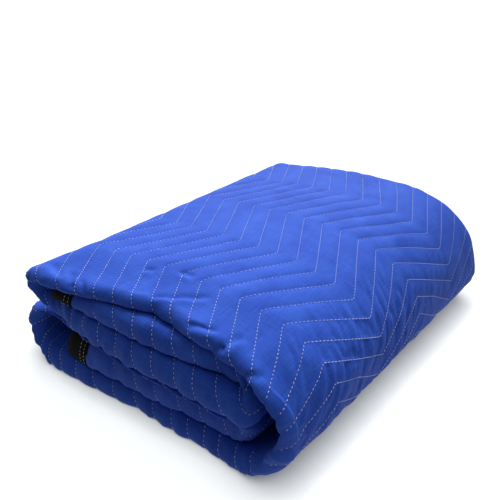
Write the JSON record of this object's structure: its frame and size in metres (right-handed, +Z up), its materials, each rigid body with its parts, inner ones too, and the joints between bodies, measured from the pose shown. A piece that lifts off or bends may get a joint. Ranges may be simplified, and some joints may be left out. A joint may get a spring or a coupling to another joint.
{
  "type": "moving blanket",
  "caption": "Quilted moving blanket folded to a thick soft pad, with zigzag stitching and bound edges, for wrapping and padding furniture.",
  "frame": {"origin": "middle of the outline, on the surface that the folded blanket lies on", "axes": "+Z up, through the layers; +Y from the front, where the folds are, to the back, where the cut edges are; +X to the wide turn that wraps the layers"},
  "size_m": [0.3886, 0.474, 0.1368],
  "materials": {
    "quilted_cloth": "matt woven polyester, quilted in white thread",
    "binding_tape": "matt black woven tape"
  },
  "bodies": {
    "root": {"quilted_panel": "quilted_cloth", "lower_end_binding": "binding_tape", "upper_end_binding": "binding_tape", "outer_edge_binding": "binding_tape", "inner_edge_binding": "binding_tape"}
  },
  "joints": []
}
